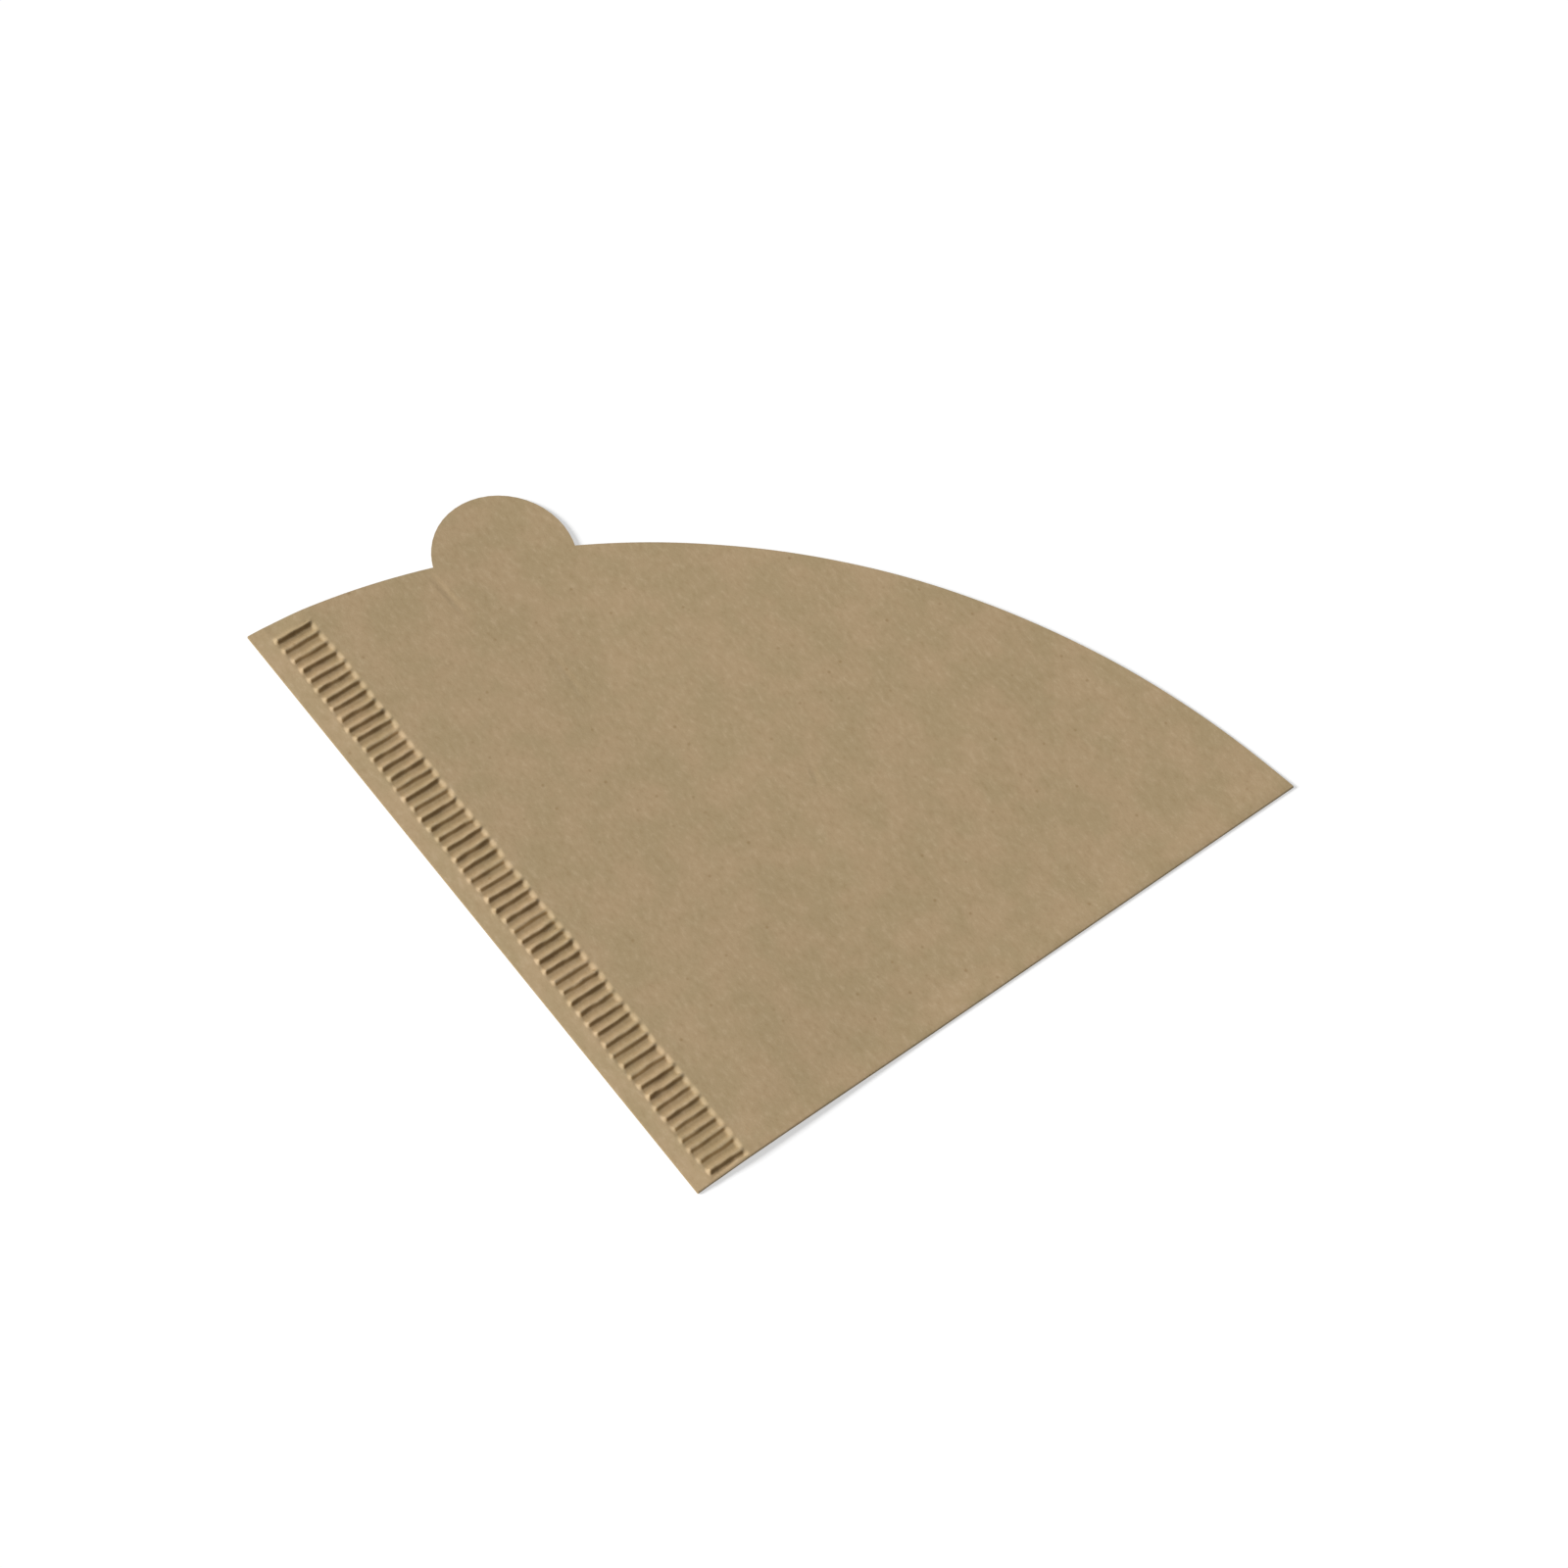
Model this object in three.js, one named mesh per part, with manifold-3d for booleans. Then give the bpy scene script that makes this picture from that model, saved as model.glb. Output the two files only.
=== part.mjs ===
// Cone paper coffee filter, folded flat as it comes from the pack.
//
// One sheet of unbleached filter paper is folded once, so that two plies lie on each other. The side across
// the fold is a crimped seam, where teeth pressed through both plies hold them together. The curved side
// is the open mouth, and the upper ply carries a round pull tab there. The sheet lies on its lower ply.
//
// Millimetres, +Z up. While it is built, the sheet has its own axes: U runs along the fold and V along
// the cut edge of the seam, both from the corner where the two meet, and Z is the height above the table.
// At the end it is turned so that +Y points from the cone's tip to the mouth and +X to the fold's far end.

import * as THREE from 'three';
import { mergeVertices } from 'three/addons/utils/BufferGeometryUtils.js';
import Module from 'manifold-3d';

const wasm = await Module();
wasm.setup();

// Driving dimensions: the outline
const foldEdge = 136;          // folded side, from the seam's cut edge to the mouth
const cutEdge = 123.1;         // seam side, from the fold to the mouth
const arcRadius = 145;         // radius of the mouth's arc
const tabRadius = 12.8;        // radius of the round pull tab
const tabFromSeam = 48.1;      // from the seam's end of the mouth to the tab's middle, along the arc
const tabInset = 0.8;          // how far the tab's centre lies inside the arc

// Driving dimensions: the paper and how it lies
const paperThickness = 0.25;
const foldGap = 0.1;           // space between the plies inside the fold
const mouthGape = 0.7;         // how much further apart the plies stand in the middle of the mouth

// Driving dimensions: the crimped seam
const crimpMargin = 2.9;       // plain paper between the cut edge and the teeth
const crimpLength = 8.1;       // length of a tooth, across the seam
const crimpPitch = 2.26;       // from one groove to the next
const crimpFromFold = 1.1;     // from the fold to the middle of the first groove
const crimpFromMouth = 3.2;    // least distance from the last ridge to the end of the cut edge
const toothEnd = 0.9;          // length of the slope at each end of a tooth
const ridgeHeight = 0.3;       // height of a ridge above the face of the sheet
const grooveDepth = 0.28;      // depth of a groove below it
const looseMargin = 2.3;       // depth of the slit between the plies outside the teeth
const seamSettle = 24;         // width of paper that slopes from the seam's raised level to the table

// Fineness of the mesh
const plyStations = 12;        // cells across a ply, from the fold to the mouth
const foldStations = 16;       // cells along the fold
const foldFacets = 4;          // facets of a quarter turn of the fold's round
const arcFacets = 44;          // facets of the mouth's arc
const tabFacets = 40;          // facets of the tab's full circle
const toothFacets = 4;         // rows of facets from one groove to the next

// Material
const paperColour = 0xa99273;
const paperRoughness = 0.92;

// Sizes that follow
const foldInner = foldGap / 2;
const foldOuter = foldInner + paperThickness;
const foldBevel = 0.5;                              // share of the sheet's height left at the seam's folded end
const sheetHeight = 2 * foldOuter;                  // two plies and the gap between them
const seamWidth = crimpMargin + crimpLength;        // the cone's side starts here
const arcCentre = centreOfArc();
const trimAllowance = tabRadius;                    // paper outside the outline, before it is cut
const webEnd = foldEdge + trimAllowance;
const plyEnd = cutEdge + trimAllowance;
const cutterReach = 2 * (sheetHeight + mouthGape + grooveDepth + ridgeHeight);

// The centre of a circle of arcRadius that passes through both ends of the mouth
function centreOfArc() {
  const foldEnd = new THREE.Vector2(foldEdge, 0);
  const seamEnd = new THREE.Vector2(0, cutEdge);
  const chord = seamEnd.clone().sub(foldEnd);
  const halfChord = chord.length() / 2;
  const setback = Math.sqrt(arcRadius ** 2 - halfChord ** 2);
  const inward = new THREE.Vector2(-chord.y, chord.x).normalize();
  return foldEnd.add(seamEnd).divideScalar(2).addScaledVector(inward, setback);
}

// Evenly spaced numbers from one value to another, both included
function stations(from, to, cells) {
  return Array.from({ length: cells + 1 }, (_, i) => THREE.MathUtils.lerp(from, to, i / cells));
}

// Heights

// The seam lies on the bottoms of its grooves, so the sheet beside it is raised by a groove's depth.
function seamLift(u) {
  return grooveDepth * (1 - THREE.MathUtils.smoothstep(u, seamWidth, seamWidth + seamSettle));
}

// The upper ply is part of a shallow cone with its tip at the inner end of the seam: straight along each line
// from the tip, pressed flat at the fold and at the seam, and highest half-way between them.
function plyGape(u, v) {
  const fromTip = Math.hypot(u - seamWidth, v);
  const angle = Math.atan2(v, u - seamWidth);
  const tipToMouth = Math.min(foldEdge - seamWidth, cutEdge);
  return mouthGape * (fromTip / tipToMouth) * Math.sin(2 * angle) ** 2;
}

// The teeth are a wave along the seam, a groove and a ridge to each pitch. It starts and ends level with the
// face of the sheet, a quarter of a pitch outside the first groove and outside the last ridge.
const toothCount = Math.floor((cutEdge - crimpFromMouth - crimpFromFold) / crimpPitch + 0.5);
const waveStart = crimpFromFold - crimpPitch / 4;
const waveEnd = waveStart + toothCount * crimpPitch;

function toothHeight(v) {
  if (v <= waveStart || v >= waveEnd) {
    return 0;
  }
  const wave = -Math.sin(2 * Math.PI * (v - waveStart) / crimpPitch);
  return wave * (wave > 0 ? ridgeHeight : grooveDepth);
}

// Solids

// A closed three.js geometry as a solid that can be joined and cut
function solidOf(geometry) {
  const bare = geometry.clone();
  bare.deleteAttribute('normal');
  bare.deleteAttribute('uv');
  const merged = mergeVertices(bare);
  return new wasm.Manifold(new wasm.Mesh({
    numProp: 3,
    vertProperties: new Float32Array(merged.attributes.position.array),
    triVerts: new Uint32Array(merged.index.array),
  }));
}

function geometryOf(solid) {
  const { vertProperties, triVerts } = solid.getMesh();
  const geometry = new THREE.BufferGeometry();
  geometry.setAttribute('position', new THREE.BufferAttribute(vertProperties, 3));
  geometry.setIndex(new THREE.BufferAttribute(triVerts, 1));
  geometry.computeVertexNormals();
  return geometry;
}

// Moves each vertex of a geometry to the place that a function gives for it
function carry(geometry, place) {
  const position = geometry.attributes.position;
  for (let i = 0; i < position.count; i += 1) {
    position.setXYZ(i, ...place(position.getX(i), position.getY(i), position.getZ(i)));
  }
  return geometry;
}

// The section across the fold: lower ply, round of the fold and upper ply, drawn with X along V and Y up
function foldedSection() {
  const section = new THREE.Shape();
  const outward = stations(foldOuter, plyEnd, plyStations);
  const inward = outward.toReversed();
  section.moveTo(plyEnd, 0);
  inward.slice(1).forEach((v) => section.lineTo(v, 0));
  section.absarc(foldOuter, foldOuter, foldOuter, -Math.PI / 2, Math.PI / 2, true);
  outward.slice(1).forEach((v) => section.lineTo(v, sheetHeight));
  inward.forEach((v) => section.lineTo(v, sheetHeight - paperThickness));
  section.absarc(foldOuter, foldOuter, foldInner, Math.PI / 2, -Math.PI / 2, false);
  outward.slice(1).forEach((v) => section.lineTo(v, paperThickness));
  section.closePath();
  return section;
}

// The folded sheet from the seam inwards, not yet cut to its outline
function foldedPlies() {
  const geometry = new THREE.ExtrudeGeometry(foldedSection(), {
    depth: webEnd - seamWidth,
    steps: foldStations,
    curveSegments: foldFacets,
    bevelEnabled: false,
  });
  return solidOf(carry(geometry, (x, y, z) => {
    const u = seamWidth + z;
    const gape = y > foldOuter ? plyGape(u, x) : 0;
    return [u, x, y + seamLift(u) + gape];
  }));
}

// The crimped seam, where the plies are one: a flat box whose rows and columns are set out on the teeth
function crimpedSeam() {
  const columns = [0, crimpMargin, crimpMargin + toothEnd, seamWidth - toothEnd, seamWidth];
  const rows = [0, foldOuter, ...stations(waveStart, waveEnd, toothCount * toothFacets), plyEnd];
  const box = new THREE.BoxGeometry(1, 1, 1, columns.length - 1, rows.length - 1, 1);
  box.translate(0.5, 0.5, 0.5);
  return solidOf(carry(box, (x, y, z) => {
    const column = Math.round(x * (columns.length - 1));
    const row = Math.round(y * (rows.length - 1));
    const onTooth = column === 2 || column === 3;
    const relief = onTooth ? toothHeight(rows[row]) : 0;
    const edge = row === 0 ? foldBevel : 1;         // the fold's round, as two bevels
    const height = foldOuter + (z - 0.5) * sheetHeight * edge;
    return [columns[column], rows[row], height + grooveDepth + relief];
  }));
}

// The slit along the cut edge, where the plies lie on each other but aren't pressed together
function marginSlit() {
  const slit = new THREE.BoxGeometry(looseMargin + trimAllowance, plyEnd, foldGap);
  slit.translate(
    (looseMargin - trimAllowance) / 2,
    paperThickness + plyEnd / 2,
    grooveDepth + foldOuter,
  );
  return solidOf(slit);
}

// What the arc keeps: everything within arcRadius of its centre
function mouthCutter() {
  const outline = new THREE.Shape();
  const low = -trimAllowance;
  const fromAngle = Math.asin((low - arcCentre.y) / arcRadius);
  const toAngle = Math.acos((low - arcCentre.x) / arcRadius);
  outline.moveTo(low, low);
  outline.lineTo(arcCentre.x + arcRadius * Math.cos(fromAngle), low);
  outline.absarc(arcCentre.x, arcCentre.y, arcRadius, fromAngle, toAngle, false);
  outline.closePath();
  const geometry = new THREE.ExtrudeGeometry(outline, {
    depth: 2 * cutterReach,
    curveSegments: arcFacets / 2,
    bevelEnabled: false,
  });
  return solidOf(geometry.translate(0, 0, -cutterReach));
}

// A round post with the tab's outline, between two heights
function tabPost(bottom, top) {
  const seamEndAngle = Math.atan2(cutEdge - arcCentre.y, -arcCentre.x);
  const angle = seamEndAngle - tabFromSeam / arcRadius;
  const reach = arcRadius - tabInset;
  const geometry = new THREE.CylinderGeometry(tabRadius, tabRadius, top - bottom, tabFacets);
  geometry.rotateX(Math.PI / 2);
  geometry.translate(
    arcCentre.x + reach * Math.cos(angle),
    arcCentre.y + reach * Math.sin(angle),
    (bottom + top) / 2,
  );
  return solidOf(geometry);
}

// The sheet is folded, crimped and then cut. Only the upper ply keeps the tab, so what lies under the tab
// is cut away up to the middle of the gap between the plies.
function filterGeometry() {
  const withinArc = mouthCutter();
  const outline = withinArc.add(tabPost(-cutterReach, cutterReach));
  const underTab = tabPost(-cutterReach, foldOuter).subtract(withinArc);
  const seam = crimpedSeam().subtract(marginSlit());
  const sheet = foldedPlies().add(seam).intersect(outline).subtract(underTab);
  const geometry = geometryOf(sheet);
  geometry.rotateZ(Math.PI / 4);
  geometry.computeBoundingBox();
  const middle = geometry.boundingBox.getCenter(new THREE.Vector3());
  geometry.translate(-middle.x, -middle.y, 0);
  return geometry;
}

const paper = new THREE.MeshStandardMaterial({
  name: 'unbleached filter paper',
  color: paperColour,
  roughness: paperRoughness,
  metalness: 0,
});

const sheetMesh = new THREE.Mesh(filterGeometry(), paper);
sheetMesh.name = 'folded_filter_sheet';

const filter = new THREE.Group();
filter.name = 'cone_paper_filter';
filter.add(sheetMesh);

export default filter;
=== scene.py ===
"""Cone paper coffee filter, folded flat: its looks.

One sheet of unbleached filter paper is folded once. Its two plies are held together by a crimped seam along
one side, and they are open along the curved mouth, where the upper ply carries a round pull tab.

The sheet is worked out in its own axes, in millimetres: U runs along the fold and V along the cut edge of
the seam, both from the corner where the two meet, and Z is the height above the table. The mesh is then
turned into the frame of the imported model, in metres.
"""

import logging
import math
from dataclasses import dataclass, field
from enum import Enum
from typing import Any

import bmesh
import bpy
import numpy as np
from mathutils import Matrix, Vector


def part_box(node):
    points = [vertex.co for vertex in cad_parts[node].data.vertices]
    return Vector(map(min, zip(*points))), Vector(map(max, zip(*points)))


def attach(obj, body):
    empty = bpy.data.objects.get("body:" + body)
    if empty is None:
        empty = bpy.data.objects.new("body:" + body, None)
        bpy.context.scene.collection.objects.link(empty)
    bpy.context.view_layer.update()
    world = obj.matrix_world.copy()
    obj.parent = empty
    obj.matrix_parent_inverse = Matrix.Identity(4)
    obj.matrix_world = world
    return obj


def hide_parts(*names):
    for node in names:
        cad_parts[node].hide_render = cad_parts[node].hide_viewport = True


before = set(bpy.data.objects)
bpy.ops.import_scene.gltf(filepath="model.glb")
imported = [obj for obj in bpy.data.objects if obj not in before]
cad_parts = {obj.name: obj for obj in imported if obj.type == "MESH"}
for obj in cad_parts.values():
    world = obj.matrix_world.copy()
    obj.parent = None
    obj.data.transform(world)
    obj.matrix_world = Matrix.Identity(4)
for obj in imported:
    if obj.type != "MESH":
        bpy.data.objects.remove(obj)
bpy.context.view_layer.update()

CAD_NODE = "folded_filter_sheet"
MM = 0.001
PHOTO_PIXELS = 1600
SENSOR_MM = 36.0
SIN_45 = math.sqrt(0.5)
WHITE = (1.0, 1.0, 1.0, 1.0)
TINY = 1e-9

log = logging.getLogger("cone_filter")

Array = np.ndarray
Node = bpy.types.Node
Sockets = dict[str | int, Any]


class Finish(Enum):
    """Which surface of the paper a stretch of the mesh is, as the index of its material."""

    FACE = 0
    CUT_EDGE = 1


class Face(Enum):
    """The four faces of the two plies, from the table upwards."""

    UNDERSIDE = 0
    LOWER_INSIDE = 1
    UPPER_INSIDE = 2
    TOP = 3


def smooth_step(x: Array, low: float | Array, high: float | Array) -> Array:
    """An S-shaped rise from 0 at low to 1 at high, level at both ends.

    Args:
        x: Where it is read.
        low: Where it starts to rise.
        high: Where it has risen.

    Returns:
        Three times the square less twice the cube of the share of the way from low to high.
    """
    t = np.clip((x - low) / (high - low), 0.0, 1.0)
    return t * t * (3.0 - 2.0 * t)


def ripples(x: Array, y: Array, wavelength: float, seed: int, waves: int = 7,
            spread: tuple[float, float] = (0.7, 1.5)) -> Array:
    """Gentle irregular waves: a sum of sines that run in all directions.

    Args:
        x: First coordinate in mm.
        y: Second coordinate in mm.
        wavelength: Typical distance between crests in mm.
        seed: Which of many patterns it is.
        waves: How many sines are added.
        spread: Shortest and longest distance between crests, as shares of the typical one.

    Returns:
        Heights between about -1 and 1.
    """
    draw = np.random.default_rng(seed)
    turn = draw.uniform(0.0, math.tau, waves)
    shift = draw.uniform(0.0, math.tau, waves)
    pitch = wavelength * draw.uniform(*spread, waves)
    along = x[..., None] * np.cos(turn) + y[..., None] * np.sin(turn)
    return np.sin(math.tau * along / pitch + shift).sum(-1) / math.sqrt(2.0 * waves)


@dataclass(frozen=True)
class SheetOutline:
    """The outline of the flat filter, in mm along U and V."""

    fold_edge: float = 136.0      # folded side, from the seam's cut edge to the mouth
    cut_edge: float = 123.1       # seam side, from the fold to the mouth
    arc_radius: float = 145.0     # radius of the mouth's arc
    tab_radius: float = 12.8      # radius of the round pull tab
    tab_from_seam: float = 48.1   # from the seam's end of the mouth to the tab's middle, along the arc
    tab_inset: float = 0.8        # how far the tab's centre lies inside the arc

    def arc_centre(self) -> Array:
        """The mouth's centre: that of the circle of arc_radius through both ends of the mouth.

        Returns:
            The point on the chord's middle line that is arc_radius from both ends, (2,).
        """
        fold_end = np.array([self.fold_edge, 0.0])
        seam_end = np.array([0.0, self.cut_edge])
        chord = seam_end - fold_end
        length = np.hypot(*chord)
        inward = np.array([-chord[1], chord[0]]) / length
        return (fold_end + seam_end) / 2 + inward * math.sqrt(self.arc_radius**2 - length**2 / 4)

    def tab_centre(self) -> Array:
        """The tab's centre, tab_from_seam along the arc and tab_inset inside it.

        Returns:
            The point, (2,).
        """
        centre = self.arc_centre()
        seam_angle = math.atan2(self.cut_edge - centre[1], -centre[0])
        angle = seam_angle - self.tab_from_seam / self.arc_radius
        reach = self.arc_radius - self.tab_inset
        return centre + reach * np.array([math.cos(angle), math.sin(angle)])

    def mouth_v(self, u: Array) -> Array:
        """V of the mouth's arc at each U, from the circle's equation."""
        centre = self.arc_centre()
        return centre[1] + np.sqrt(self.arc_radius**2 - (u - centre[0]) ** 2)

    def mouth_angle(self, u: float, v: float) -> float:
        """Direction of a point as the arc's centre sees it, in radians from the U axis."""
        centre = self.arc_centre()
        return math.atan2(v - centre[1], u - centre[0])

    def tab_ends(self) -> tuple[float, float]:
        """Directions, from the arc's centre, in which the tab's circle crosses the arc.

        Returns:
            The lower and the higher angle in radians, from the law of cosines.
        """
        reach = self.arc_radius - self.tab_inset
        cosine = (self.arc_radius**2 + reach**2 - self.tab_radius**2) / (2 * self.arc_radius * reach)
        middle = self.mouth_angle(*self.tab_centre())
        return middle - math.acos(cosine), middle + math.acos(cosine)

    def tab_rim(self, start: Array, points: Array) -> Array:
        """Where the lines from start through points leave the tab's circle.

        Args:
            start: One point, (2,).
            points: Points on the arc within the tab, (n, 2).

        Returns:
            The far roots of the line and circle equation, (n, 2).
        """
        way = points - start
        way /= np.linalg.norm(way, axis=1, keepdims=True)
        back = start - self.tab_centre()
        half = way @ back
        root = np.sqrt(np.maximum(half**2 - back @ back + self.tab_radius**2, 0.0))
        return start + way * (root - half)[:, None]


@dataclass(frozen=True)
class CrimpedTeeth:
    """The teeth pressed through both plies along the seam, in mm.

    Shares of the pitch say where, from one groove to the next, the steep side of a ridge starts, how far
    it rises and how far the gentler side falls. The limits of the pressing and painted shade are shares of
    the steep side's width.
    """

    margin: float = 2.9           # plain paper between the cut edge and the teeth
    length: float = 8.1           # length of a tooth, across the seam
    pitch: float = 2.26           # from one groove to the next
    from_fold: float = 1.1        # from the fold to the middle of the first groove
    from_mouth: float = 3.2       # least distance from the last ridge to the end of the cut edge
    height: float = 0.56          # from the bottom of a groove to its ridge
    face_share: float = 0.76      # height of the cone's side beside the teeth, as a share of height
    groove_dip: float = 0.07      # depth of the grooves below the margin
    outer_end: float = 0.66       # length of the slope at the end of a tooth by the cut edge
    inner_end: float = 1.05       # length of the slope at its other end
    rise_at: float = 0.28         # where the steep side starts, in pitches from the start of the teeth
    rise: float = 0.34            # width of the steep side, in pitches
    crest: float = 0.06           # width of the ridge's level top, in pitches
    fall: float = 0.32            # width of the gentler side, in pitches
    climb: float = 0.14           # how far the groove's floor climbs, as a share of height
    run_in: float = 0.2           # width over which the first and last tooth fade, in pitches
    press_shade_full: float = 0.4       # where the steep side is darkest: pressed paper, and painted shade as it faces away from the light
    press_shade_fade: float = 0.7       # where it starts to be darkened less
    groove_press_and_shade: float = 0.4     # how dark the grooves are made, pressed paper and painted shade, as a share of the steep sides
    end_press_and_shade: float = 0.4        # share of a tooth's end slopes over which the pressing and painted shade fade
    unevenness: float = 0.30      # most that a tooth's height differs, as a share
    end_wander: float = 0.22      # most that an end of a tooth lies further in or out
    lean: float = 0.18            # most that a tooth's two ends are shifted against each other
    jitter: float = 0.12          # most that a tooth is out of its place along the seam
    wobble: float = 0.09          # how far the line of a tooth wanders
    wobble_length: float = 3.1    # length of its bends
    crush: float = 0.24           # how uneven a ridge is along its length, as a share of its height
    crush_length: float = 2.3     # length of its dents
    seed: int = 11

    def width(self) -> float:
        """Width of the seam from the cut edge to where the cone's side starts."""
        return self.margin + self.length

    def start(self) -> float:
        """V where the teeth start, a quarter of a pitch before the middle of the first groove."""
        return self.from_fold - self.pitch / 4

    def count(self, cut_edge: float) -> int:
        """How many pitches fit between the fold and the mouth."""
        return int((cut_edge - self.from_mouth - self.from_fold) / self.pitch + 0.5)

    def foot(self) -> float:
        """Share of the pitch at which the gentle side of a ridge reaches the bottom of the groove."""
        return self.rise + self.crest + self.fall

    def _per_tooth(self, v: Array, count: int, offset: int, spread: float) -> Array:
        """A random value for each tooth, carried evenly from the middle of one to the middle of the next.

        Args:
            v: Place along the seam in mm.
            count: How many teeth there are.
            offset: Which of the seam's random values it is.
            spread: The most that a value differs from 0.

        Returns:
            The values at each place.
        """
        draw = np.random.default_rng(self.seed + offset)
        values = draw.uniform(-spread, spread, count + 2)
        middles = self.start() + self.pitch * (np.arange(count + 2) - 0.5)
        return np.interp(v, middles, values)

    def _share(self, u: Array, v: Array, count: int) -> tuple[Array, Array]:
        """Where a point lies in the row of teeth, with their lean, their jitter and their wobble.

        Args:
            u: Place across the seam in mm.
            v: Place along the seam in mm.
            count: How many teeth there are.

        Returns:
            How many pitches it is from the start, and its share of the way from one rise to the next.
        """
        lean = self._per_tooth(v, count, 0, self.lean) * (u - self.width() / 2) / self.length
        leant = v + lean + self._per_tooth(v, count, 4, self.jitter)
        leant = leant + self.wobble * ripples(u, v, self.wobble_length, self.seed)
        turns = (leant - self.start()) / self.pitch
        return turns, (turns - self.rise_at) % 1.0

    def _wave(self, share: Array) -> Array:
        """Height along the seam, 0 in the grooves and 1 on the ridges.

        It rises steeply to the ridge, runs along its crest, falls to the bottom of the next groove and
        climbs a little along the groove's floor.

        Args:
            share: Share of the way from one rise to the next.

        Returns:
            The heights.
        """
        brow = self.rise + self.crest
        foot = self.foot()
        up = self.climb + (1.0 - self.climb) * smooth_step(share, 0.0, self.rise)
        return up - smooth_step(share, brow, foot) + self.climb * smooth_step(share, foot, 1.0)

    def _across(self, u: Array, v: Array, count: int) -> tuple[Array, Array]:
        """How far a point is past the ends of its tooth.

        Args:
            u: Place across the seam in mm.
            v: Place along the seam in mm.
            count: How many teeth there are.

        Returns:
            Shares of the slope at the outer end and of the one at the inner end, each 0 to 1.
        """
        outer = self.margin + self._per_tooth(v, count, 2, self.end_wander)
        inner = self.width() + self._per_tooth(v, count, 3, self.end_wander)
        past_outer = smooth_step(u, outer, outer + self.outer_end)
        return past_outer, smooth_step(u, inner - self.inner_end, inner)

    def relief(self, u: Array, v: Array, cut_edge: float) -> Array:
        """Height of the seam above the bottoms of its grooves.

        The margin outside the teeth is level with the grooves and the cone's side with the ridges, so
        each ridge starts with a steep outer end and each groove ends with a rise to the cone's side.
        Before the first tooth and after the last one a plain slope joins the two levels.

        Args:
            u: Place across the seam in mm.
            v: Place along the seam in mm.
            cut_edge: Length of the seam in mm.

        Returns:
            Heights in mm.
        """
        count = self.count(cut_edge)
        turns, share = self._share(u, v, count)
        past_outer, past_inner = self._across(u, v, count)
        crushed = self.crush * ripples(u, v, self.crush_length, self.seed + 1)
        uneven = 1.0 + self._per_tooth(v, count, 1, self.unevenness) + crushed
        wave = self.height * uneven * self._wave(share) - self.groove_dip
        teeth = wave * past_outer * (1.0 - past_inner)
        side = self.height * self.face_share
        within = smooth_step(turns, 0.0, self.run_in)
        within = within * (1.0 - smooth_step(turns, count - self.run_in, count))
        plain = side * smooth_step(u, self.margin, self.width())
        return within * (teeth + side * past_inner) + (1.0 - within) * plain

    def pressing_and_shade(self, u: Array, v: Array, cut_edge: float) -> Array:
        """How dark the crimped teeth make the paper: partly crushed paper, partly painted shade.

        It is darkest on the steep sides, which face away from the light, so there the darkening is painted
        shade as well as pressed paper.
        The grooves get less than half as much, partly painted shade in their hollows, and the ridges and
        the ends of the teeth get none.

        Args:
            u: Place across the seam in mm.
            v: Place along the seam in mm.
            cut_edge: Length of the seam in mm.

        Returns:
            Shares of the darkest, 0 to 1.
        """
        count = self.count(cut_edge)
        turns, share = self._share(u, v, count)
        past_outer, past_inner = self._across(u, v, count)
        # Painted shade together with pressed paper: strongest on the steep sides that face away from the
        # light, weaker in the grooves.
        reached = smooth_step(share, 0.0, self.press_shade_full * self.rise)
        steep = reached * (1.0 - smooth_step(share, self.press_shade_fade * self.rise, self.rise))
        grooves = self.groove_press_and_shade * (1.0 - self._wave(share))
        within = (turns > self.run_in) & (turns < count - self.run_in)
        inside = smooth_step(past_outer, 1.0 - self.end_press_and_shade, 1.0)
        inside = inside * (1.0 - smooth_step(past_inner, 0.0, self.end_press_and_shade))
        return within * inside * np.maximum(steep, grooves)


@dataclass(frozen=True)
class PaperLie:
    """How the folded paper lies: its thickness, the gaps between its plies and its slight waves, in mm."""

    thickness: float = 0.22
    fold_gap: float = 0.16        # space between the plies inside the fold
    pressed_gap: float = 0.02     # space where they are pressed together
    margin_gap: float = 0.05      # how much further apart they are at the seam's cut edge
    margin_rise: float = 0.30     # how far the margin rises from the cut edge to the teeth
    mouth_gape: float = 0.62      # how far apart the plies stand in the middle of the mouth
    seam_settle: float = 45.0     # width of paper that slopes from the seam's raised level to the table
    pocket_start: float = 6.0     # width beside the seam over which the pocket opens
    fold_spring: float = 5.0      # width beside the fold that it holds apart
    wave_length: float = 58.0
    wave_height: float = 0.07
    cockle_length: float = 17.0
    cockle_height: float = 0.02
    held_width: float = 38.0      # width beside the fold and the seam over which the waves grow
    seed: int = 3


@dataclass
class Patch:
    """A grid of points, of shape (rows, columns, 3), that becomes four-sided faces."""

    points: Array
    finish: Finish = Finish.FACE

    def corners(self) -> Array:
        """All points in one list, (rows * columns, 3)."""
        return self.points.reshape(-1, 3)

    def faces(self, first: int) -> list[list[int]]:
        """The grid's cells as faces.

        Args:
            first: Number of the grid's first point in the mesh.

        Returns:
            A list of four point numbers for each cell.
        """
        rows, columns = self.points.shape[:2]
        number = first + np.arange(rows * columns).reshape(rows, columns)
        cells = np.stack([number[:-1, :-1], number[:-1, 1:], number[1:, 1:], number[1:, :-1]], -1)
        return cells.reshape(-1, 4).tolist()


@dataclass
class Polygons(Patch):
    """Polygons with as many corners each, of shape (polygons, corners, 3)."""

    def faces(self, first: int) -> list[list[int]]:
        """Each row of points as one polygon, counted from first."""
        count, corners = self.points.shape[:2]
        return (first + np.arange(count * corners).reshape(count, corners)).tolist()


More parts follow.
